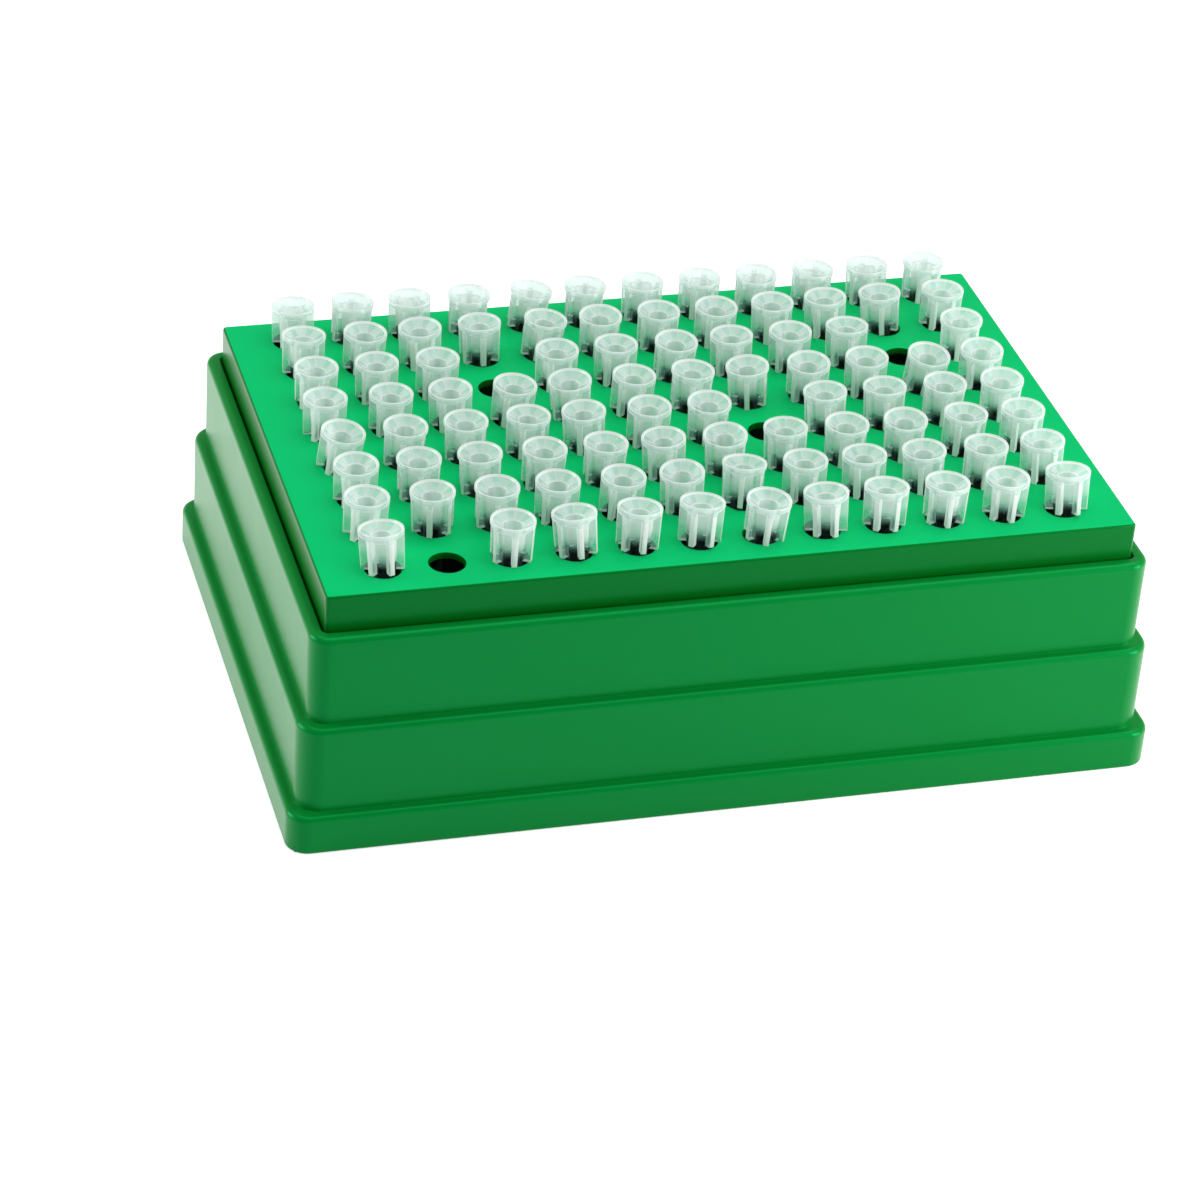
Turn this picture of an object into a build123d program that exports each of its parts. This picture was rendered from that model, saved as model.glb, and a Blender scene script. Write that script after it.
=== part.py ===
"""Box of pipette tips: a stepped open base, a drop-in tip tray and ribbed tips in columns of eight.

Frame: origin at the centre of the footprint on the table, +X along the columns' numbering,
+Y towards the back row, +Z up. Millimetres.
"""
import os
from math import cos, radians, sin

from build123d import *

# ---------------------------------------------------------------- driving dimensions
# Tip grid, at the spacing that multichannel pipettes use
pitch = 9.0
column_count = 12
row_count = 8
# Seats without a tip, as (column, row) counted from 0 at the left and at the back
empty_seats = ((3, 2), (10, 2), (7, 4), (1, 7))

# Tip tray
tray_side_margin = 9.14       # last column's centre to the tray's end
tray_front_margin = 6.0       # last row's centre to the tray's long side
tray_stand = 5.4              # tray wall that shows above the base's rim
tray_corner = 0.6
tray_wall = 1.6
tray_edge = 0.4               # broken edge round the deck
deck_thickness = 1.0
hole_diameter = 5.2           # clear width of a tip hole
hole_sides = 8                # flat sides of the hole under a tip

# Base
tray_clearance = 0.35         # gap all round the tray in the base's rim
rim_wall = 1.95               # rim beside the tray
base_wall = 1.6
seat_depth = 3.0              # how far the tray drops below the rim
ledge_width = 1.8
ledge_thickness = 1.6
upper_height = 13.8
lower_height = 13.6
flange_height = 6.1
lower_step = 1.5              # how far each shoulder stands out, per side
flange_step = 1.44
upper_corner = 2.9
lower_corner = 3.6
flange_corner = 3.2
shoulder_edge = 0.5           # broken outer edge of each shoulder

# Tip
tip_length = 32.8
rib_height = 6.0              # rib ends, which sit on the deck, up to the rim
rib_count = 6
seat_width = 0.6              # how far a rib reaches past the edge of its hole
barrel_clearance = 0.65       # gap between the barrel and its hole
flare_height = 1.9
mouth_diameter = 5.2
funnel_depth = 1.3            # rim down to where the mouth has narrowed to the bore
tip_wall = 0.3                # where the cone passes through the deck
end_diameter = 0.9

# ---------------------------------------------------------------- worked-out sizes
tray_length = (column_count - 1) * pitch + 2 * tray_side_margin
tray_width = (row_count - 1) * pitch + 2 * tray_front_margin

# Steps of the base, each as growth over the tray per side
pocket_growth = tray_clearance
upper_growth = pocket_growth + rim_wall
lower_growth = upper_growth + lower_step
flange_growth = lower_growth + flange_step

flange_top = flange_height
lower_top = flange_top + lower_height
rim_top = lower_top + upper_height
ledge_top = rim_top - seat_depth
deck_top = rim_top + tray_stand

rib_radius = hole_diameter / 2 + seat_width
barrel_radius = hole_diameter / 2 - barrel_clearance
end_radius = end_diameter / 2
cone_length = tip_length - rib_height
barrel_top = rib_height - flare_height
bore_slope = (barrel_radius - tip_wall - end_radius) / cone_length
throat_radius = end_radius + bore_slope * (tip_length - funnel_depth)
mouth_radius = mouth_diameter / 2
rib_turn = 360 / rib_count
half_turn = rib_turn / 2                  # from a rib to the groove beside it
flat_share = cos(radians(half_turn))      # how far out a facet is, as a share of its corners' radius


def seat_place(column, row):
    """Centre of a seat in plan, with the grid centred on the origin."""
    x = (column - (column_count - 1) / 2) * pitch
    y = ((row_count - 1) / 2 - row) * pitch
    return (x, y)


def rib_star():
    """Corners of the ribbed barrel's section: rib edges and grooves by turns."""
    corners = []
    for step in range(2 * rib_count):
        radius = rib_radius if step % 2 == 0 else barrel_radius
        angle = radians(step * half_turn)
        corners.append((radius * cos(angle), radius * sin(angle)))
    return corners


def facetted(profile):
    """Solid with one facet over each groove and its corners at the ribs: profile lists (radius, height)."""
    reach = 2 * rib_radius
    outline = [(-reach, profile[0][1]), *profile, (-reach, profile[-1][1])]
    with BuildPart() as body:
        for facet in range(rib_count):
            angle = radians(half_turn + facet * rib_turn)
            plane = Plane((0, 0, 0), x_dir=(cos(angle), sin(angle), 0), z_dir=(sin(angle), -cos(angle), 0))
            with BuildSketch(plane):
                with BuildLine():
                    Polyline(*outline, close=True)
                make_face()
            extrude(amount=reach, both=True, mode=Mode.INTERSECT if facet else Mode.ADD)
    return body.part


def finish(part, name):
    """Label a piece and write it as a STEP file of that name."""
    part.label = name
    export_step(part, f"parts/{name}.step")
    print(name, len(part.solids()), round(part.volume, 1))


os.makedirs("parts", exist_ok=True)
seats = [(column, row) for column in range(column_count) for row in range(row_count)]
filled_seats = [seat for seat in seats if seat not in empty_seats]
open_seats = [seat for seat in seats if seat in empty_seats]

# ---------------------------------------------------------------- base
# Each tier from the table up: growth over the tray, top level, corner radius
tiers = (
    (flange_growth, flange_top, flange_corner),
    (lower_growth, lower_top, lower_corner),
    (upper_growth, rim_top, upper_corner),
)

with BuildPart() as rack_base:
    tier_bottom = 0
    for growth, tier_top, corner in tiers:
        with BuildSketch(Plane.XY.offset(tier_bottom)):
            RectangleRounded(tray_length + 2 * growth, tray_width + 2 * growth, corner)
        extrude(amount=tier_top - tier_bottom)
        shoulder = rack_base.faces().filter_by(Axis.Z).sort_by(Axis.Z)[-1]
        chamfer(shoulder.edges(), length=shoulder_edge)
        tier_bottom = tier_top
    # One even wall follows the steps inside, and the underside is open
    hollow_bottom = 0
    hollow_tops = (flange_top - base_wall, lower_top - base_wall, ledge_top - ledge_thickness)
    for (growth, tier_top, corner), hollow_top in zip(tiers, hollow_tops):
        inside = growth - base_wall
        with BuildSketch(Plane.XY.offset(hollow_bottom)):
            RectangleRounded(tray_length + 2 * inside, tray_width + 2 * inside, corner - base_wall)
        extrude(amount=hollow_top - hollow_bottom, mode=Mode.SUBTRACT)
        hollow_bottom = hollow_top
    # Opening inside the ledge
    opening = pocket_growth - ledge_width
    with BuildSketch(Plane.XY.offset(hollow_bottom)):
        Rectangle(tray_length + 2 * opening, tray_width + 2 * opening)
    extrude(amount=ledge_thickness, mode=Mode.SUBTRACT)
    # Pocket that the tray drops into
    with BuildSketch(Plane.XY.offset(ledge_top)):
        RectangleRounded(
            tray_length + 2 * pocket_growth, tray_width + 2 * pocket_growth, tray_corner + tray_clearance
        )
    extrude(amount=seat_depth, mode=Mode.SUBTRACT)

finish(rack_base.part, "rack_base")

# ---------------------------------------------------------------- tip tray
with BuildPart() as tip_tray:
    with BuildSketch(Plane.XY.offset(ledge_top)):
        RectangleRounded(tray_length, tray_width, tray_corner)
    extrude(amount=deck_top - ledge_top)
    deck = tip_tray.faces().sort_by(Axis.Z)[-1]
    chamfer(deck.edges(), length=tray_edge)
    with BuildSketch(Plane.XY.offset(ledge_top)):
        Rectangle(tray_length - 2 * tray_wall, tray_width - 2 * tray_wall)
    extrude(amount=deck_top - deck_thickness - ledge_top, mode=Mode.SUBTRACT)
    # A hole under a tip has flat sides, and an empty one is round
    with BuildSketch(Plane.XY.offset(deck_top)):
        with Locations(*[seat_place(*seat) for seat in filled_seats]):
            RegularPolygon(hole_diameter / 2, hole_sides, major_radius=False, rotation=180 / hole_sides)
        with Locations(*[seat_place(*seat) for seat in open_seats]):
            Circle(hole_diameter / 2)
    extrude(amount=-deck_thickness, mode=Mode.SUBTRACT)

finish(tip_tray.part, "tip_tray")

# ---------------------------------------------------------------- one tip
# Made with its rib ends at height 0. Faceted, with one side per rib, so that a full rack stays light.
# The bore starts from the cone's own outline, so the wall thins out to an edge at the very end.
flare = facetted([(barrel_radius, barrel_top), (rib_radius * flat_share, rib_height)])
cone = facetted([(end_radius * flat_share, -cone_length), (barrel_radius * flat_share, 0)])
throat_level = rib_height - funnel_depth
bore = facetted([
    (end_radius * flat_share, -cone_length),
    (throat_radius * flat_share, throat_level),
    (mouth_radius * flat_share, rib_height),
])

with BuildPart() as tip:
    # Ribbed barrel
    with BuildSketch():
        with BuildLine():
            Polyline(*rib_star(), close=True)
        make_face()
    extrude(amount=rib_height)
    # The flare under the rim closes the grooves between the ribs
    add(flare)
    add(cone)
    add(bore, mode=Mode.SUBTRACT)

# ---------------------------------------------------------------- tips, column by column
for column in range(column_count):
    rows = [row for row in range(row_count) if (column, row) not in empty_seats]
    with BuildPart() as column_tips:
        with Locations(*[(*seat_place(column, row), deck_top) for row in rows]):
            add(tip.part)
    finish(column_tips.part, f"tips_column_{column + 1:02d}")
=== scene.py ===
"""Box of pipette tips: a stepped green rack, its drop-in tray and 92 ribbed clear tips, in a plain studio."""
import math
import random
from contextlib import contextmanager

import bmesh
import bpy
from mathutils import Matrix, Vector


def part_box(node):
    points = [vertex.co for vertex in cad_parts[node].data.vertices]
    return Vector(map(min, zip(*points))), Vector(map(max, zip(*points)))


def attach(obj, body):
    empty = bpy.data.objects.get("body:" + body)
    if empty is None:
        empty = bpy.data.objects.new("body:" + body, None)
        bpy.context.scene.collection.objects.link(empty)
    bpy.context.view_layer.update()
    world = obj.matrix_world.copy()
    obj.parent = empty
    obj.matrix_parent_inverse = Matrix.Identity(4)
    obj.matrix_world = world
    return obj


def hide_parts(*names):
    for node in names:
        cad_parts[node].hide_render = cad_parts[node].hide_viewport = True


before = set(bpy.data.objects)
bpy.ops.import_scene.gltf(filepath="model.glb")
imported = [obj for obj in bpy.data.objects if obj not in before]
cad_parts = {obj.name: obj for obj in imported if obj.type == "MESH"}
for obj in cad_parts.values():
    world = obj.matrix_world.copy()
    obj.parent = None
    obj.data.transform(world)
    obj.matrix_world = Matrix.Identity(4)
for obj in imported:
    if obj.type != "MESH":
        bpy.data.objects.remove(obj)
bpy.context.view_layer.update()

MM = 0.001
CLOSE = 2e-6                 # points or levels this near each other count as one
LEVEL = 0.9                  # a face counts as level where its normal is at least this upright

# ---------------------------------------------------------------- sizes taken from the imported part
tray_low, tray_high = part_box("tip_tray")
rack_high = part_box("rack_base")[1]
tray_x, tray_y = tray_high.x, tray_high.y
deck_level, ledge_level = tray_high.z, tray_low.z
rim_level = rack_high.z

# ---------------------------------------------------------------- sizes shared with the part
pitch = 9 * MM
column_count = 12
row_count = 8
empty_seats = ((3, 2), (10, 2), (7, 4), (1, 7))      # as (column, row) from the left and from the back
hole_radius = 2.6 * MM
deck_thickness = 1 * MM
tray_wall = 1.6 * MM
tray_corner = 0.6 * MM
rack_wall = 1.6 * MM
rim_wall = 1.95 * MM
lower_step = 1.5 * MM
flange_step = 1.44 * MM
ledge_width = 1.8 * MM
ledge_thickness = 1.6 * MM
lower_height = 13.6 * MM
rib_count = 6

# How far each outline of the rack stands outside the tray
pocket_growth = 0.35 * MM
upper_growth = pocket_growth + rim_wall
lower_growth = upper_growth + lower_step
flange_growth = lower_growth + flange_step
ledge_growth = pocket_growth - ledge_width

flange_level = 6.1 * MM
lower_level = flange_level + lower_height
ledge_under = ledge_level - ledge_thickness

# ---------------------------------------------------------------- camera
camera_place = Vector((-0.161863, -0.484783, 0.338966))
camera_angles = (56.93765, -3.78153, -15.12378)      # degrees
camera_lens = 122.12
camera_sensor = 36


# ---------------------------------------------------------------- hand tools
def start(name):
    """Names the piece that was just added or joined, and returns it."""
    piece = bpy.context.object
    piece.name = piece.data.name = name
    return piece


def only(*pieces):
    """Selects these pieces and nothing else, the last one active."""
    bpy.ops.object.select_all(action="DESELECT")
    for piece in pieces:
        piece.select_set(True)
    bpy.context.view_layer.objects.active = pieces[-1]


@contextmanager
def editing(piece):
    """Edit mode on one piece, with nothing selected."""
    only(piece)
    bpy.ops.object.mode_set(mode="EDIT")
    bpy.ops.mesh.select_mode(type="VERT")
    bpy.ops.mesh.select_all(action="DESELECT")
    yield
    bpy.ops.object.mode_set(mode="OBJECT")


def pick(test, kind="VERT"):
    """Selects the vertices, edges or faces that pass the test, and nothing else."""
    bpy.ops.mesh.select_mode(type=kind)
    bpy.ops.mesh.select_all(action="DESELECT")
    data = bpy.context.edit_object.data
    mesh = bmesh.from_edit_mesh(data)
    for item in {"VERT": mesh.verts, "EDGE": mesh.edges, "FACE": mesh.faces}[kind]:
        if test(item):
            item.select_set(True)
    mesh.select_flush_mode()
    bmesh.update_edit_mesh(data)


def resize(x, y, z, centre=(0, 0, 0)):
    """Scales what is selected about a centre."""
    bpy.ops.transform.resize(value=(x, y, z), center_override=centre)


def move(x, y, z):
    """Moves what is selected."""
    bpy.ops.transform.translate(value=(x, y, z))


def extrude(x=0, y=0, z=0):
    """Extrudes what is selected by this much."""
    bpy.ops.mesh.extrude_region_move(TRANSFORM_OT_translate={"value": (x, y, z)})


def round_edges(radius, steps):
    """Rounds the selected edges."""
    bpy.ops.mesh.bevel(offset=radius, segments=steps, affect="EDGES", profile=0.5)


def apply(piece, kind, **settings):
    """Adds a modifier to the piece with these settings and applies it."""
    only(piece)
    modifier = piece.modifiers.new(kind.lower(), kind)
    for key, value in settings.items():
        setattr(modifier, key, value)
    bpy.ops.object.modifier_apply(modifier=modifier.name)


shell_smooth_angle = math.radians(40)


def finish_shading(piece):
    """Smooth rounded edges, with the flat faces kept flat."""
    only(piece)
    bpy.ops.object.shade_smooth_by_angle(angle=shell_smooth_angle)
    apply(piece, "WEIGHTED_NORMAL", keep_sharp=True, weight=60)


# ---------------------------------------------------------------- outlines of a moulded shell
corner_steps = 10
lift_off = 3 * MM            # how far an outline is lifted while it is joined to one on its own level


def add_outline(growth, level, corner):
    """Turns the plane that was just added into a rounded outline, given as growth over the tray."""
    resize(tray_x + growth, tray_y + growth, 1)
    move(0, 0, level)
    bpy.ops.mesh.bevel(offset=corner, segments=corner_steps, affect="VERTICES")
    bpy.ops.mesh.delete(type="ONLY_FACE")


def on_outline(point, growth, level, corner):
    """True where a point lies on that outline."""
    past_x = max(abs(point.x) - (tray_x + growth - corner), 0)
    past_y = max(abs(point.y) - (tray_y + growth - corner), 0)
    return abs(point.z - level) < CLOSE and abs(math.hypot(past_x, past_y) - corner) < CLOSE


def pick_outlines(*outlines):
    """Selects the points on any of these outlines."""
    pick(lambda vert: any(on_outline(vert.co, *outline) for outline in outlines))


# ---------------------------------------------------------------- rack base
flange_corner = 3.2 * MM
lower_corner = 3.6 * MM
upper_corner = 2.9 * MM
inner_corner = 1.5 * MM
pocket_corner = tray_corner + pocket_growth

# Roundings, each as (radius, steps)
shoulder_rounding = (0.9 * MM, 5)
crease_rounding = (0.15 * MM, 2)
foot_rounding = (0.4 * MM, 3)
inner_rounding = (0.25 * MM, 2)

# Outlines of the shell, each as (growth over the tray, level, corner radius)
foot = (flange_growth, 0, flange_corner)
flange_shoulder = (flange_growth, flange_level, flange_corner)
lower_crease = (lower_growth, flange_level, lower_corner)
lower_shoulder = (lower_growth, lower_level, lower_corner)
upper_crease = (upper_growth, lower_level, upper_corner)
rim = (upper_growth, rim_level, upper_corner)
pocket_mouth = (pocket_growth, rim_level, pocket_corner)
ledge_crease = (pocket_growth, ledge_level, pocket_corner)
ledge_edge = (ledge_growth, ledge_level, pocket_corner)
ledge_lip = (ledge_growth, ledge_under, pocket_corner)
upper_roof = (upper_growth - rack_wall, ledge_under, inner_corner)
upper_foot = (upper_growth - rack_wall, lower_level - rack_wall, inner_corner)
lower_roof = (lower_growth - rack_wall, lower_level - rack_wall, inner_corner)
lower_foot = (lower_growth - rack_wall, flange_level - rack_wall, inner_corner)
flange_roof = (flange_growth - rack_wall, flange_level - rack_wall, inner_corner)
inner_foot = (flange_growth - rack_wall, 0, inner_corner)
shell_outlines = (
    foot, flange_shoulder, lower_crease, lower_shoulder, upper_crease, rim, pocket_mouth, ledge_crease,
    ledge_edge, ledge_lip, upper_roof, upper_foot, lower_roof, lower_foot, flange_roof, inner_foot,
)


def make_rack():
    """One moulded shell: outlines from the foot up the steps, over the rim and back down inside."""
    bpy.ops.object.select_all(action="DESELECT")
    bpy.ops.mesh.primitive_plane_add(size=2)
    rack = start("moulded_rack")
    with editing(rack):
        bpy.ops.mesh.select_all(action="SELECT")
        add_outline(*foot)
        before = foot
        for outline in shell_outlines[1:] + (foot,):
            growth, level, corner = outline
            # An outline on its neighbour's level is made off it and moved there once the two are joined
            lift = lift_off if abs(level - before[1]) < CLOSE else 0
            if outline is foot:
                pick_outlines(foot)
                move(0, 0, lift)
            else:
                bpy.ops.mesh.select_all(action="DESELECT")
                bpy.ops.mesh.primitive_plane_add(size=2)
                add_outline(growth, level + lift, corner)
            pick_outlines(before, (growth, level + lift, corner))
            bpy.ops.mesh.bridge_edge_loops()
            pick_outlines((growth, level + lift, corner))
            move(0, 0, -lift)
            before = outline
        pick_outlines(flange_shoulder, lower_shoulder, rim)
        round_edges(*shoulder_rounding)
        pick_outlines(lower_crease, upper_crease)
        round_edges(*crease_rounding)
        pick_outlines(foot)
        round_edges(*foot_rounding)
        pick_outlines(pocket_mouth, ledge_edge, inner_foot)
        round_edges(*inner_rounding)
        bpy.ops.mesh.select_all(action="SELECT")
        bpy.ops.mesh.normals_make_consistent(inside=False)
    finish_shading(rack)
    return rack


# ---------------------------------------------------------------- tip tray
hole_steps = 48              # sides of a hole, a quarter of them along each side of its cell

skirt_x, skirt_y = tray_x - tray_wall, tray_y - tray_wall      # inner sides of the skirt
deck_under = deck_level - deck_thickness

# Roundings, each as (radius, steps)
tray_corner_rounding = (tray_corner, 5)
deck_rounding = (0.4 * MM, 4)
skirt_rounding = (0.2 * MM, 2)
hole_rounding = (0.12 * MM, 2)


def seat_place(column, row):
    """Centre of a seat in plan."""
    return (column - (column_count - 1) / 2) * pitch, ((row_count - 1) / 2 - row) * pitch


def from_seat(point):
    """How far a point is in plan from the middle of the nearest seat."""
    column = min(max(round(point.x / pitch + (column_count - 1) / 2), 0), column_count - 1)
    row = min(max(round((row_count - 1) / 2 - point.y / pitch), 0), row_count - 1)
    x, y = seat_place(column, row)
    return math.hypot(point.x - x, point.y - y)


def past_skirt(point):
    """How far a point is in plan outside the skirt's inner side."""
    return max(abs(point.x) - skirt_x, abs(point.y) - skirt_y)


def is_skirt_root(face):
    """Underside faces of the strip that the skirt hangs from."""
    centre = face.calc_center_median()
    return face.normal.z < -LEVEL and abs(centre.z - deck_under) < CLOSE and past_skirt(centre) > CLOSE


def is_tray_corner(edge):
    """Upright edges at the tray's four outer corners."""
    points = [vert.co for vert in edge.verts]
    return all(abs(abs(point.x) - tray_x) < CLOSE and abs(abs(point.y) - tray_y) < CLOSE for point in points)


def is_tray_edge(edge, level):
    """Edges round the outside of the tray at this level."""
    return all(on_outline(vert.co, 0, level, tray_corner) for vert in edge.verts)


def is_hole_edge(edge):
    """Edges round the holes on top of the deck."""
    points = [vert.co for vert in edge.verts]
    return all(
        abs(point.z - deck_level) < CLOSE and abs(from_seat(point) - hole_radius) < CLOSE for point in points
    )


def make_cell():
    """One cell of the deck round its hole, flat."""
    first_x, first_y = seat_place(0, row_count - 1)
    bpy.ops.object.select_all(action="DESELECT")
    bpy.ops.mesh.primitive_circle_add(
        vertices=hole_steps, radius=hole_radius, location=(first_x, first_y, deck_level)
    )
    cell = start("moulded_tray")
    only(cell)
    bpy.ops.object.transform_apply(location=True)
    with editing(cell):
        bpy.ops.mesh.primitive_plane_add(size=pitch, location=(first_x, first_y, deck_level))
        bpy.ops.mesh.delete(type="ONLY_FACE")
        pick(lambda vert: from_seat(vert.co) > hole_radius + CLOSE)
        bpy.ops.mesh.subdivide(number_cuts=hole_steps // 4 - 1)
        bpy.ops.mesh.select_all(action="SELECT")
        bpy.ops.mesh.bridge_edge_loops()
    return cell


def add_margin(tray):
    """Takes the grid's edge out to the skirt's inner side, and a strip from there to the outer side."""
    grid_x, grid_y = column_count * pitch / 2, row_count * pitch / 2
    with editing(tray):
        bpy.ops.mesh.select_all(action="SELECT")
        bpy.ops.mesh.remove_doubles(threshold=CLOSE)
        for side in (-1, 1):
            pick(lambda vert: abs(vert.co.y - side * grid_y) < CLOSE)
            move(0, side * (skirt_y - grid_y), 0)
            pick(lambda vert: abs(vert.co.x - side * grid_x) < CLOSE)
            extrude(x=side * (skirt_x - grid_x))
        pick(lambda vert: past_skirt(vert.co) > -CLOSE)
        extrude()
        resize(tray_x / skirt_x, tray_y / skirt_y, 1)
        bpy.ops.mesh.select_all(action="SELECT")
        bpy.ops.mesh.normals_make_consistent(inside=False)
        mesh = bmesh.from_edit_mesh(tray.data)
        mesh.faces.ensure_lookup_table()
        if mesh.faces[0].normal.z < 0:
            bpy.ops.mesh.flip_normals()


def add_skirt(tray):
    """Hangs the skirt from the deck's underside and rounds the tray's edges and its holes."""
    with editing(tray):
        bpy.ops.mesh.select_all(action="SELECT")
        bpy.ops.mesh.normals_make_consistent(inside=False)
        pick(is_skirt_root, "FACE")
        extrude(z=ledge_level - deck_under)
        pick(is_tray_corner, "EDGE")
        round_edges(*tray_corner_rounding)
        pick(lambda edge: is_tray_edge(edge, deck_level), "EDGE")
        round_edges(*deck_rounding)
        pick(lambda edge: is_tray_edge(edge, ledge_level), "EDGE")
        round_edges(*skirt_rounding)
        pick(is_hole_edge, "EDGE")
        round_edges(*hole_rounding)
        bpy.ops.mesh.select_all(action="SELECT")
        bpy.ops.mesh.dissolve_degenerate(threshold=3 * CLOSE)


def make_tray():
    """One cell of the deck, repeated over the grid, then given its margin, its thickness and its skirt."""
    tray = make_cell()
    for count, offset in ((column_count, (pitch, 0, 0)), (row_count, (0, pitch, 0))):
        apply(
            tray, "ARRAY", count=count, constant_offset_displace=offset, use_relative_offset=False,
            use_constant_offset=True, use_merge_vertices=True, merge_threshold=CLOSE,
        )
    add_margin(tray)
    apply(tray, "SOLIDIFY", thickness=deck_thickness, offset=-1)
    add_skirt(tray)
    finish_shading(tray)
    return tray


# ---------------------------------------------------------------- one ribbed tip
# Where the tip's wall changes, as radii and heights over the deck in millimetres
end_height = -26.80
cone_radius = 1.66           # top of the cone
barrel_radius = 1.84         # barrel at the deck
shoulder_low = 2.15          # small shoulder on the barrel
shoulder_high = 2.21
collar_low = 4.50            # where the collar steps out from the barrel
collar_radius = 2.42         # top of the collar
flare_low = 4.70             # where the collar flares out to the rim
rim_low = 5.28               # lower edge of the rim
rib_high = 5.42              # where the ribs run out on the rim
lip_radius = 2.90            # inner edge of the rim
funnel_radius = 2.80         # widest part of the funnel
throat_radius = 1.58         # where the funnel narrows to the bore
throat_low = 4.86            # and the lower end of that step

# Outline of the wall as (radius, height): up the outside, over the rim and down the bore
wall_outline = [
    (0.36, end_height), (0.45, -26.70), (cone_radius, -0.08), (barrel_radius, 0.00),
    (1.97, shoulder_low), (2.00, shoulder_high), (2.12, collar_low), (2.36, 4.60), (collar_radius, flare_low),
    (3.12, rim_low), (3.20, rib_high), (3.20, 5.92), (3.14, 6.00), (2.98, 6.00), (lip_radius, 5.92),
    (funnel_radius, 5.72), (throat_radius, 5.02), (1.45, throat_low), (1.26, 0.00), (0.25, end_height),
]

sector = 2 * math.pi / rib_count
sector_steps = 6             # flat sides of the wall in one sector
rib_low_reach = 3.00 * MM    # axis to the rib's outer face, at the deck
rib_high_reach = 3.16 * MM   # and at its top
rib_top = rib_high * MM
rib_half = 0.39 * MM         # half of a rib's thickness
rib_rounding = (0.12 * MM, 2)
tip_smooth_angle = math.radians(38)


def rib_reach(height):
    """How far the rib's outer face is from the axis at this height."""
    return rib_low_reach + (rib_high_reach - rib_low_reach) * height / rib_top


def is_rib_root(face):
    """Outer faces of the barrel and the flare that the rib stands on, the two in the middle of the sector."""
    centre = face.calc_center_median()
    turn = abs(math.atan2(centre.y, centre.x))
    outward = centre.x * face.normal.x + centre.y * face.normal.y > 0
    return outward and 0 < centre.z < rib_top and turn < sector / sector_steps


def is_rib_edge(point):
    """Points of the rib's flat outer face, before it gets its taper."""
    on_rib = abs(point.y) < rib_half * 2 and -CLOSE < point.z < rib_top + CLOSE
    return on_rib and abs(point.x - rib_high_reach) < CLOSE


def is_rib_outer_edge(edge):
    """The two long edges of the rib's outer face and its lower end."""
    first, second = (vert.co for vert in edge.verts)
    for point in (first, second):
        if abs(point.x - rib_reach(point.z)) > 2 * CLOSE or not -CLOSE < point.z < rib_top + CLOSE:
            return False
    on_side = abs(abs(first.y) - rib_half) < CLOSE and abs(first.y - second.y) < CLOSE
    at_foot = abs(first.z) < CLOSE and abs(second.z) < CLOSE
    return on_side or at_foot


def sweep_wall(tip):
    """The wall of one sector: its outline, extruded point by point and swept from groove to groove."""
    bpy.ops.mesh.select_all(action="SELECT")
    bpy.ops.mesh.merge(type="CENTER")
    first_radius, first_height = wall_outline[0]
    move(first_radius * MM, 0, first_height * MM)
    for (radius, height), (next_radius, next_height) in zip(wall_outline, wall_outline[1:]):
        extrude(x=(next_radius - radius) * MM, z=(next_height - height) * MM)
    bpy.ops.mesh.select_all(action="SELECT")
    bpy.ops.transform.rotate(value=sector / 2, orient_axis="Z", center_override=(0, 0, 0))
    mesh = bmesh.from_edit_mesh(tip.data)
    mesh.verts.ensure_lookup_table()
    sweep = sector if mesh.verts[0].co.y > 0 else -sector
    pick(lambda vert: vert.co.z < end_height * MM + CLOSE)
    bpy.ops.mesh.edge_face_add()
    bpy.ops.mesh.select_all(action="SELECT")
    bpy.ops.mesh.spin(steps=sector_steps, angle=sweep, center=(0, 0, 0), axis=(0, 0, 1))
    bpy.ops.mesh.select_all(action="SELECT")
    bpy.ops.mesh.remove_doubles(threshold=CLOSE)
    bpy.ops.mesh.normals_make_consistent(inside=False)
    if bmesh.from_edit_mesh(tip.data).calc_volume(signed=True) < 0:
        bpy.ops.mesh.flip_normals()


def grow_rib():
    """The rib, grown from the middle of the sector to its flat face, then given its width and its taper."""
    pick(is_rib_root, "FACE")
    extrude()
    resize(0, 1, 1, (rib_high_reach, 0, 0))
    for side in (-1, 1):
        pick(lambda vert: is_rib_edge(vert.co) and vert.co.y * side > CLOSE)
        resize(1, 0, 1, (0, side * rib_half, 0))
    for level in sorted({height * MM for _, height in wall_outline if 0 <= height < rib_high}):
        pick(lambda vert: is_rib_edge(vert.co) and abs(vert.co.z - level) < CLOSE)
        resize(0, 1, 1, (rib_reach(level), 0, 0))
    pick(is_rib_outer_edge, "EDGE")
    round_edges(*rib_rounding)


def make_tip():
    """One tip with its rib ends at the origin's height: a sector with one rib, turned into the whole."""
    bpy.ops.object.select_all(action="DESELECT")
    bpy.ops.mesh.primitive_plane_add(size=MM)
    tip = start("ribbed_tip")
    with editing(tip):
        sweep_wall(tip)
        grow_rib()
        bpy.ops.mesh.select_all(action="SELECT")
        bpy.ops.mesh.spin(
            steps=rib_count - 1, dupli=True, angle=sector * (rib_count - 1), center=(0, 0, 0), axis=(0, 0, 1)
        )
        bpy.ops.mesh.select_all(action="SELECT")
        bpy.ops.mesh.remove_doubles(threshold=CLOSE)
        bpy.ops.mesh.normals_make_consistent(inside=False)
    only(tip)
    bpy.ops.object.shade_smooth_by_angle(angle=tip_smooth_angle)
    milk = tip.data.attributes.new("milk", "FLOAT_VECTOR", "FACE")
    for face in tip.data.polygons:
        milk.data[face.index].vector = how_milky(face)
    return tip


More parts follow.
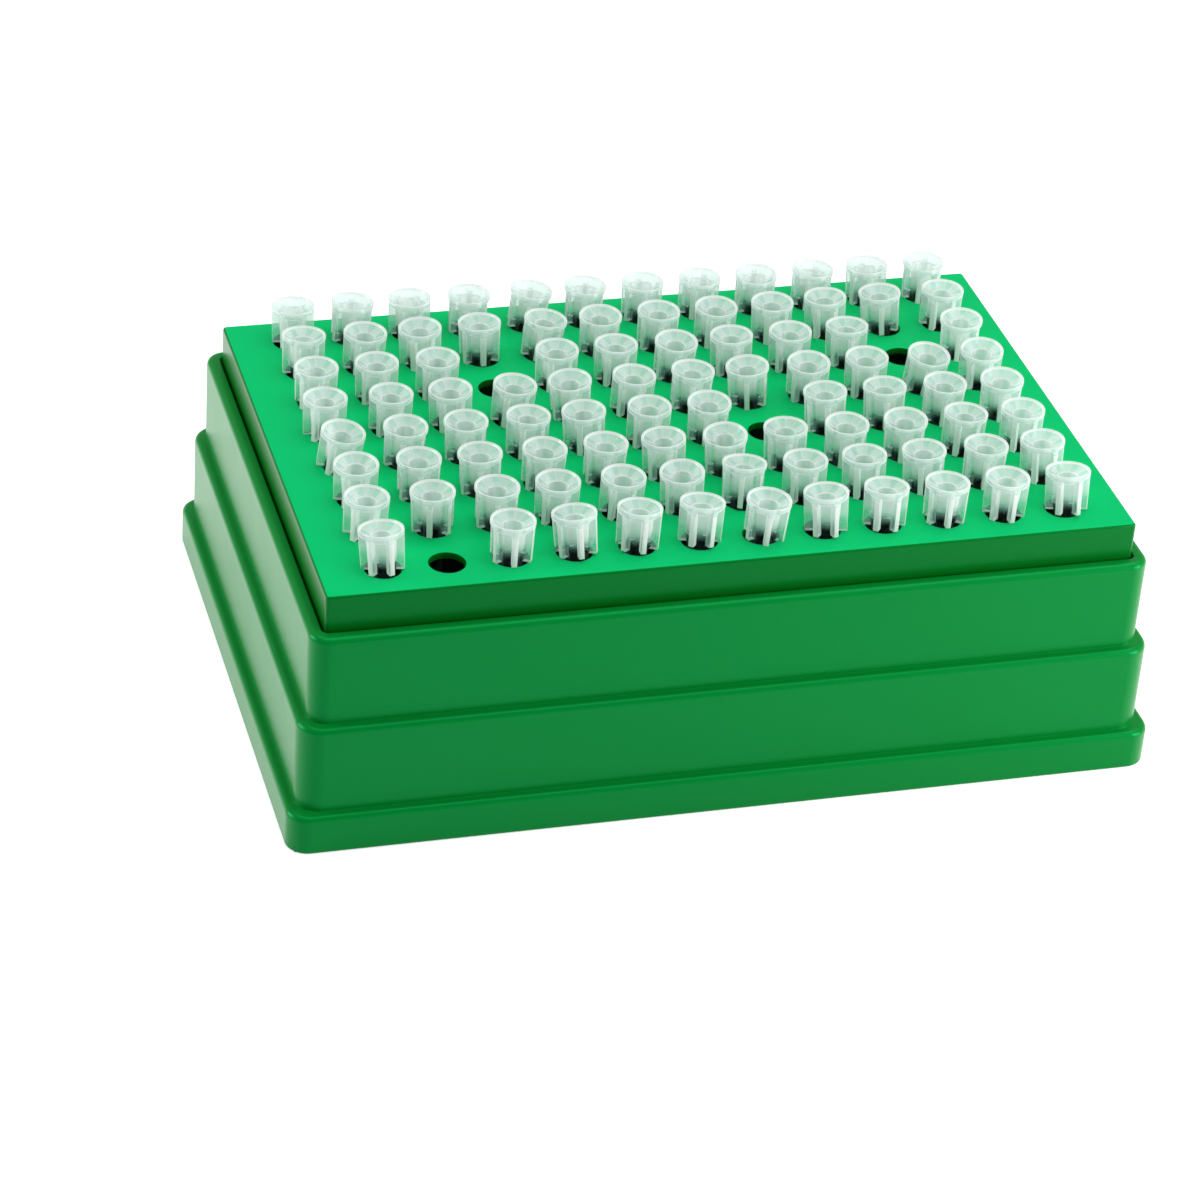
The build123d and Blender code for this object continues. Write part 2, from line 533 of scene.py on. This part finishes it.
# How much each stretch of the wall hides what is behind it, as (evenly, growing upwards, seen edge on)
rim_milk = (0.50, 0, 0.95)
lip_milk = (0.84, 0, 0.95)
lip_edge_milk = (0.98, 0, 0.98)
collar_milk = (0.50, 0, 0.90)
# Nearly opaque white on the collar's step: partly the step seen edge on, partly a painted highlight ring
collar_ring_highlight_milk = (0.98, 0, 0.98)
rib_face_milk = (0.98, 0, 0.98)
rib_side_milk = (0.24, 0.50, 0.96)
rib_foot_milk = (0.95, 0, 0.98)
barrel_milk = (0, 0.58, 0)
shoulder_milk = (0, 0.85, 0)
barrel_foot_milk = (0.06, 0, 0.10)
mouth_milk = (0.58, 0, 0.66)
# Less milk in line with the ribs: painted shade, darker lines in the mouth for the ribs seen through its wall
mouth_rib_shade_milk = (0.42, 0, 0.50)
throat_milk = (0.84, 0, 0.86)
bore_milk = (0, 0.58, 0.10)
cone_milk = (0.01, 0, 0.07)

foot_band = 0.1              # faces this near the deck's level belong to the foot, in millimetres
rib_face_radius = 2.75       # under the flare, only the ribs' outer faces are further out, in millimetres
side_turn = 0.7              # a face is a rib's side where this much of its normal points round the axis


def how_milky(face):
    """How a face of the tip hides what is behind it: evenly, growing upwards, and seen edge on."""
    centre = face.center
    radius, height = math.hypot(centre.x, centre.y) / MM, centre.z / MM
    outward = centre.x * face.normal.x + centre.y * face.normal.y > 0
    sideways = abs(centre.x * face.normal.y - centre.y * face.normal.x) > side_turn * radius * MM
    from_rib = abs((math.atan2(centre.y, centre.x) + sector / 2) % sector - sector / 2)
    if height > rim_low and radius > funnel_radius:
        if outward:
            return rim_milk
        return lip_milk if radius > lip_radius else lip_edge_milk
    # The collar's step: near white, partly a painted highlight ring
    if outward and collar_low < height < flare_low and radius < collar_radius:
        return collar_ring_highlight_milk
    if outward and height > flare_low:
        return rib_side_milk if sideways else collar_milk
    if abs(height) < foot_band and radius > cone_radius:
        return rib_foot_milk if radius > barrel_radius else barrel_foot_milk
    if radius > rib_face_radius and not sideways:
        return rib_face_milk
    if sideways:
        return rib_side_milk
    if outward and height > 0:
        return shoulder_milk if shoulder_low < height < shoulder_high else barrel_milk
    if height > throat_low and radius < throat_radius:
        return throat_milk
    if height > throat_low:
        # Painted shade: thinner milk in line with the ribs draws darker lines in the mouth
        return mouth_rib_shade_milk if from_rib < sector / sector_steps else mouth_milk
    return bore_milk if height > 0 else cone_milk


# ---------------------------------------------------------------- all the tips
usual_lean = math.radians(3.0)
tip_seed = 12
# How the tips that are best seen sit: the turn of a rib from the line to the camera in degrees, the shift of
# the tip to the right in its hole in millimetres, and its lean to the right and to the back in degrees
set_tips = {
    (0, 7): (28, 0.0, -5, 8), (2, 7): (11, 0.0, 0, 2), (3, 7): (18, 0.3, -7, 8), (4, 7): (20, 0.0, 0, 7.5),
    (5, 7): (38, 0.0, 0, 9), (6, 7): (9, 0.4, 3, 0), (7, 7): (33, 0.5, -5, 6), (8, 7): (39, 0.1, -1.5, 6.5),
    (9, 7): (17, 0.0, 0, 3), (10, 7): (30, 0.0, 0, 1.5), (11, 7): (40, 0.5, -4.5, 8),
    (0, 6): (26, -0.6, 1.5, 2), (0, 5): (30, 0.0, 0, -1.5), (0, 4): (32, -0.6, 7, -3),
    (0, 3): (30, -0.6, 0, 2), (0, 2): (18, 0.0, 0, 0), (0, 1): (40, 0.0, 0, 6.5), (0, 0): (30, 0.3, -1, 3),
    (1, 6): (53, 0.0, -2, 2), (3, 6): (26, -0.3, 0, 0), (6, 6): (57, -0.1, -1, 9.5), (10, 6): (10, 0.0, 0, 1),
    (9, 5): (57, 0.0, -1, -3), (4, 4): (50, -0.4, -4, 0), (5, 4): (25, 0.0, 0, 0), (8, 3): (20, 0.0, -1, -4),
    (2, 1): (40, -0.3, -3, 0), (3, 1): (15, -0.3, -3, 3), (9, 1): (35, -0.4, -4, 2),
    (10, 1): (10, -0.5, -6, 2),
}


def set_by_hand(x, y, degrees, shift, lean_right, lean_back):
    """Place, turn, lean and heading of a tip that is set as the camera sees it."""
    to_camera = math.atan2(camera_place.y - y, camera_place.x - x)
    to_right = to_camera + math.pi / 2
    turn = to_camera + math.radians(degrees)
    lean = math.radians(math.hypot(lean_right, lean_back))
    heading = to_right + math.atan2(lean_back, lean_right)
    x += shift * MM * math.cos(to_right)
    y += shift * MM * math.sin(to_right)
    return x, y, turn, lean, heading


def copy_tip(tip, x, y, turn, lean, heading):
    """A copy of the tip at this place, turned about its own axis and then leaning towards its heading."""
    only(tip)
    bpy.ops.object.duplicate()
    copy = bpy.context.object
    copy.rotation_euler = (0, 0, turn)
    bpy.ops.object.transform_apply(location=False, rotation=True, scale=False)
    copy.rotation_mode = "AXIS_ANGLE"
    copy.rotation_axis_angle = (lean, -math.sin(heading), math.cos(heading), 0)
    copy.location = (x, y, deck_level)
    bpy.ops.object.transform_apply(location=True, rotation=True, scale=False)
    return copy


def place_tips(tip):
    """Copies of the tip at every filled seat, each turned and leaning its own way, joined by column."""
    draw = random.Random(tip_seed)
    for column in range(column_count):
        copies = []
        for row in range(row_count):
            turn = draw.uniform(0, 2 * math.pi)
            lean = abs(draw.gauss(0, usual_lean))
            heading = draw.uniform(0, 2 * math.pi)
            if (column, row) in empty_seats:
                continue
            x, y = seat_place(column, row)
            if (column, row) in set_tips:
                x, y, turn, lean, heading = set_by_hand(x, y, *set_tips[column, row])
            copies.append(copy_tip(tip, x, y, turn, lean, heading))
        only(*copies)
        bpy.ops.object.join()
        tips = start(f"ribbed_tips_{column + 1:02d}")
        yield f"tips_column_{column + 1:02d}", tips
    only(tip)
    bpy.ops.object.delete()


# ---------------------------------------------------------------- finishes
def grey(level):
    """A neutral colour."""
    return level, level, level, 1


def node_adder(tree):
    """A helper that adds a node to this tree with its settings and with values or links for its inputs."""
    def add(kind, inputs=(), **settings):
        node = tree.nodes.new(kind)
        for key, value in settings.items():
            setattr(node, key, value)
        for socket, value in dict(inputs).items():
            if isinstance(value, bpy.types.NodeSocket):
                tree.links.new(value, node.inputs[socket])
            else:
                node.inputs[socket].default_value = value
        return node

    return add


def new_finish(name):
    """A new material, its node tree, its main shader and a helper that adds nodes."""
    finish = bpy.data.materials.new(name)
    finish.use_nodes = True
    tree = finish.node_tree
    return finish, tree, tree.nodes["Principled BSDF"], node_adder(tree)


# Patterns in the green plastic, as features per metre
flow_scale = 28.0
grain_scale = 2600.0
gloss_scale = 160.0
polish_least, polish_most = 0.26, 0.32
grain_strength = 0.05
grain_height = 0.03 * MM


def green_plastic(name, pale, full, shine, sheen=(0.02, 1.0, 0.45)):
    """Satin moulded polypropylene: flow shades from pale to full, a fine grain and slightly uneven gloss."""
    finish, tree, shader, add = new_finish(name)
    place = add("ShaderNodeTexCoord").outputs["Object"]
    flow = add("ShaderNodeTexNoise", {"Vector": place, "Scale": flow_scale, "Detail": 3.0, "Roughness": 0.5})
    shade = add("ShaderNodeMapRange", {"Value": flow.outputs["Fac"], "From Min": 0.3, "From Max": 0.7})
    colour = add("ShaderNodeMix", {
        "Factor": shade.outputs["Result"], "A": (*full, 1), "B": (*pale, 1)
    }, data_type="RGBA")
    tree.links.new(colour.outputs["Result"], shader.inputs["Base Color"])
    gloss = add("ShaderNodeTexNoise", {
        "Vector": place, "Scale": gloss_scale, "Detail": 4.0, "Roughness": 0.6
    })
    polish = add("ShaderNodeMapRange", {
        "Value": gloss.outputs["Fac"], "To Min": polish_least, "To Max": polish_most
    })
    tree.links.new(polish.outputs["Result"], shader.inputs["Roughness"])
    grain = add("ShaderNodeTexNoise", {
        "Vector": place, "Scale": grain_scale, "Detail": 2.0, "Roughness": 0.6
    })
    bump = add("ShaderNodeBump", {
        "Height": grain.outputs["Fac"], "Strength": grain_strength, "Distance": grain_height
    })
    tree.links.new(bump.outputs["Normal"], shader.inputs["Normal"])
    shader.inputs["IOR"].default_value = 1.5
    shader.inputs["Specular IOR Level"].default_value = shine
    shader.inputs["Specular Tint"].default_value = (*sheen, 1)
    return finish


thin_tone = (0.64, 1.00, 0.92)       # colour of the milk in a thin wall, and in a thick one
thick_tone = (0.87, 0.89, 0.88)
teal_until, white_from = 0.13, 0.76  # opacity up to which it has the first colour, and from which the second
face_on_clear = (0.95, 0.975, 0.97)  # what the clear part lets through
edge_on_clear = (0.74, 0.82, 0.80)
edge_start, edge_full = 0.18, 0.72   # slants between which a wall turns from face on to edge on
slant_gain = 0.7                     # how much more the growing milk hides where it is seen edge on
# Band over the deck in which the growing milk comes in: partly the wall's real thickening, partly painted
# light for the bright surroundings seen through the upper wall
painted_rise_start, painted_rise_end = 0.5 * MM, 3.4 * MM
glow_share = 0.36                    # share of the milk that glows with light from behind
cloud_scale = 700.0
clear_polish_least, clear_polish_most = 0.10, 0.18


def clear_plastic():
    """Natural polypropylene: clear and faintly teal in thin walls, white where thick or seen edge on."""
    finish, tree, shader, add = new_finish("clear_tip_plastic")
    place = add("ShaderNodeTexCoord").outputs["Object"]
    # Opacity: the wall's own milk, the part of it that fades out towards the hole (partly the wall's real
    # thickening, partly painted light whitening the upper wall), and the wall seen edge on
    milk_parts = add("ShaderNodeAttribute", attribute_name="milk").outputs["Vector"]
    even, growing, edge_on = add("ShaderNodeSeparateXYZ", {"Vector": milk_parts}).outputs
    height = add("ShaderNodeSeparateXYZ", {"Vector": place}).outputs["Z"]
    painted_rise = add("ShaderNodeMapRange", {
        "Value": height, "From Min": deck_level + painted_rise_start, "From Max": deck_level + painted_rise_end, "To Max": 1.0
    }, interpolation_type="SMOOTHSTEP")
    facing = add("ShaderNodeLayerWeight", {"Blend": 0.5}).outputs["Facing"]
    slant = add("ShaderNodeMapRange", {
        "Value": facing, "From Min": edge_start, "From Max": edge_full, "To Max": 1.0
    }, interpolation_type="SMOOTHSTEP").outputs["Result"]
    fuller = add("ShaderNodeMath", {0: slant, 1: slant_gain, 2: 1.0}, operation="MULTIPLY_ADD")
    risen = add("ShaderNodeMath", {0: growing, 1: painted_rise.outputs["Result"]}, operation="MULTIPLY")
    upper = add("ShaderNodeMath", {0: risen.outputs[0], 1: fuller.outputs[0]}, operation="MULTIPLY")
    edge = add("ShaderNodeMath", {0: edge_on, 1: slant}, operation="MULTIPLY")
    body = add("ShaderNodeMath", {0: even, 1: upper.outputs[0]}, operation="MAXIMUM")
    opacity = add(
        "ShaderNodeMath", {0: body.outputs[0], 1: edge.outputs[0]}, operation="MAXIMUM", use_clamp=True
    ).outputs[0]
    cloud = add("ShaderNodeTexNoise", {
        "Vector": place, "Scale": cloud_scale, "Detail": 3.0, "Roughness": 0.55
    })
    gloss = add("ShaderNodeMapRange", {
        "Value": cloud.outputs["Fac"], "To Min": clear_polish_least, "To Max": clear_polish_most
    })
    tree.links.new(gloss.outputs["Result"], shader.inputs["Roughness"])
    whiteness = add("ShaderNodeMapRange", {
        "Value": opacity, "From Min": teal_until, "From Max": white_from
    }, interpolation_type="SMOOTHSTEP")
    tone = add("ShaderNodeMix", {
        "Factor": whiteness.outputs["Result"], "A": (*thin_tone, 1), "B": (*thick_tone, 1)
    }, data_type="RGBA").outputs["Result"]
    tree.links.new(tone, shader.inputs["Base Color"])
    shader.inputs["IOR"].default_value = 1.49
    inner_glow = add("ShaderNodeBsdfTranslucent", {"Color": tone})
    milk = add("ShaderNodeMixShader", {0: glow_share, 1: shader.outputs[0], 2: inner_glow.outputs[0]})
    # A wall seen along its length takes more of the light that passes through it
    dimming = add("ShaderNodeMix", {
        "Factor": slant, "A": (*face_on_clear, 1), "B": (*edge_on_clear, 1)
    }, data_type="RGBA")
    clear_part = add("ShaderNodeBsdfTransparent", {"Color": dimming.outputs["Result"]})
    plastic = add("ShaderNodeMixShader", {0: opacity, 1: clear_part.outputs[0], 2: milk.outputs[0]})
    tree.links.new(plastic.outputs[0], tree.nodes["Material Output"].inputs["Surface"])
    return finish


def give(piece, finish):
    """Gives the piece this finish and no other."""
    piece.data.materials.clear()
    piece.data.materials.append(finish)


# ---------------------------------------------------------------- pieces
rack_green = green_plastic("green_rack_plastic", (0.001, 0.200, 0.023), (0.001, 0.195, 0.022), shine=0.42)
tray_green = green_plastic("green_tray_plastic", (0.001, 0.137, 0.008), (0.001, 0.133, 0.007), shine=0.36)
# Paler, bluer copy of the tray's green for its faces that look up: painted light and reflection on the deck's
# top
deck_lit_green = green_plastic(
    "green_deck_painted_lit", (0.001, 0.482, 0.138), (0.001, 0.472, 0.134), shine=0.05, sheen=(0.04, 1.0, 0.95)
)
clear = clear_plastic()

rack = make_rack()
give(rack, rack_green)
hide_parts("rack_base")
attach(rack, "root")

tray = make_tray()
give(tray, tray_green)
tray.data.materials.append(deck_lit_green)
# Faces that look up take the paler green, painted light on the tray's top
for face in tray.data.polygons:
    if face.normal.z > LEVEL:
        face.material_index = 1
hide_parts("tip_tray")
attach(tray, "root")

for node, tips in place_tips(make_tip()):
    give(tips, clear)
    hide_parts(node)
    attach(tips, "root")

for name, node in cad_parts.items():
    give(node, clear if name.startswith("tips_") else rack_green)


# ---------------------------------------------------------------- studio
floor_size = 8
floor_white = 0.95           # colour of the floor where it is looked at
floor_glow = 0.50            # and the glow that brings it up to the white of the background
floor_grey = 0.62            # colour of the floor for the light that it throws back
hollow_painted_shade = 0.01           # and under the rack: painted shade, nearly black
wall_cover = 1 * MM          # how far the floor still counts as open under the rack's wall
world_light = 0.22           # strength of the light from all round
world_in_gloss = 0.45        # strength that glosses show


def seen_or_mirrored(add):
    """1 where the camera, a gloss or a clear wall looks at the surface, and 0 where light falls on it."""
    path = add("ShaderNodeLightPath").outputs
    first = add("ShaderNodeMath", {0: path["Is Camera Ray"], 1: path["Is Glossy Ray"]}, operation="MAXIMUM")
    both = add("ShaderNodeMath", {0: first.outputs[0], 1: path["Is Transmission Ray"]}, operation="MAXIMUM")
    return both.outputs[0]


def outside_painted_shade(add):
    """1 on the open floor and 0 under the rack, where the floor is painted dark as shade, since hardly any
    light gets in.
    """
    place = add("ShaderNodeTexCoord").outputs["Object"]
    split = add("ShaderNodeSeparateXYZ", {"Vector": place}).outputs
    beyond = {}
    for side, (axis, reach) in enumerate((("X", rack_high.x), ("Y", rack_high.y))):
        size = add("ShaderNodeMath", {0: split[axis]}, operation="ABSOLUTE")
        past = add("ShaderNodeMath", {0: size.outputs[0], 1: reach - wall_cover}, operation="GREATER_THAN")
        beyond[side] = past.outputs[0]
    return add("ShaderNodeMath", beyond, operation="MAXIMUM").outputs[0]


def make_floor():
    """Plain white floor that keeps the soft shadow, with painted shade: dark inside the hollow rack."""
    bpy.ops.object.select_all(action="DESELECT")
    bpy.ops.mesh.primitive_plane_add(size=floor_size)
    floor = start("studio_floor")
    finish, tree, shader, add = new_finish("studio_white")
    tree.nodes.remove(shader)
    # Painted shade: the floor under the rack is nearly black
    dark = add("ShaderNodeBsdfDiffuse", {"Color": grey(hollow_painted_shade)})
    lit = add("ShaderNodeBsdfDiffuse", {"Color": grey(floor_grey)})
    shown = add("ShaderNodeBsdfDiffuse", {"Color": grey(floor_white)})
    glow = add("ShaderNodeEmission", {"Strength": floor_glow})
    bright = add("ShaderNodeAddShader", {0: shown.outputs[0], 1: glow.outputs[0]})
    clean = add("ShaderNodeMixShader", {0: seen_or_mirrored(add), 1: lit.outputs[0], 2: bright.outputs[0]})
    whole = add("ShaderNodeMixShader", {0: outside_painted_shade(add), 1: dark.outputs[0], 2: clean.outputs[0]})
    tree.links.new(whole.outputs[0], tree.nodes["Material Output"].inputs["Surface"])
    give(floor, finish)


def make_world():
    """White all round for the camera and clear walls, softer in glosses and in the light that it gives."""
    world = bpy.data.worlds.new("studio_world")
    bpy.context.scene.world = world
    world.use_nodes = True
    tree = world.node_tree
    add = node_adder(tree)
    light = tree.nodes["Background"]
    light.inputs["Color"].default_value = grey(1)
    light.inputs["Strength"].default_value = world_light
    in_gloss = add("ShaderNodeLightPath").outputs["Is Glossy Ray"]
    strength = add("ShaderNodeMath", {0: in_gloss, 1: world_in_gloss - 1, 2: 1}, operation="MULTIPLY_ADD")
    shown = add("ShaderNodeBackground", {"Color": grey(1), "Strength": strength.outputs[0]})
    whole = add("ShaderNodeMixShader", {0: seen_or_mirrored(add), 1: light.outputs[0], 2: shown.outputs[0]})
    tree.links.new(whole.outputs[0], tree.nodes["World Output"].inputs["Surface"])


def add_softbox(name, place, aim, side, power):
    """A soft square lamp at a place, turned to face its aim."""
    bpy.ops.object.light_add(type="AREA", location=place)
    lamp = bpy.context.object
    lamp.name = lamp.data.name = name
    lamp.data.shape = "RECTANGLE"
    lamp.data.size = lamp.data.size_y = side
    lamp.data.energy = power
    lamp.rotation_mode = "QUATERNION"
    lamp.rotation_quaternion = (Vector(aim) - Vector(place)).to_track_quat("-Z", "Y")


make_floor()
make_world()
add_softbox("overhead_softbox", place=(0.14, 0.02, 0.86), aim=(0, 0, 0.02), side=0.9, power=6.7)
add_softbox("side_softbox", place=(0.24, -0.20, 0.10), aim=(0.06, -0.04, 0.02), side=0.15, power=0.70)
add_softbox("left_softbox", place=(-0.55, 0.12, 0.22), aim=(-0.06, 0, 0.02), side=0.3, power=1.9)

camera_data = bpy.data.cameras.new("camera")
camera_data.sensor_width = camera_sensor
camera_data.lens = camera_lens
camera_data.clip_start = 0.01
camera = bpy.data.objects.new("camera", camera_data)
camera.location = camera_place
camera.rotation_euler = [math.radians(angle) for angle in camera_angles]
bpy.context.scene.collection.objects.link(camera)
bpy.context.scene.camera = camera

bpy.context.scene.view_settings.view_transform = "Standard"
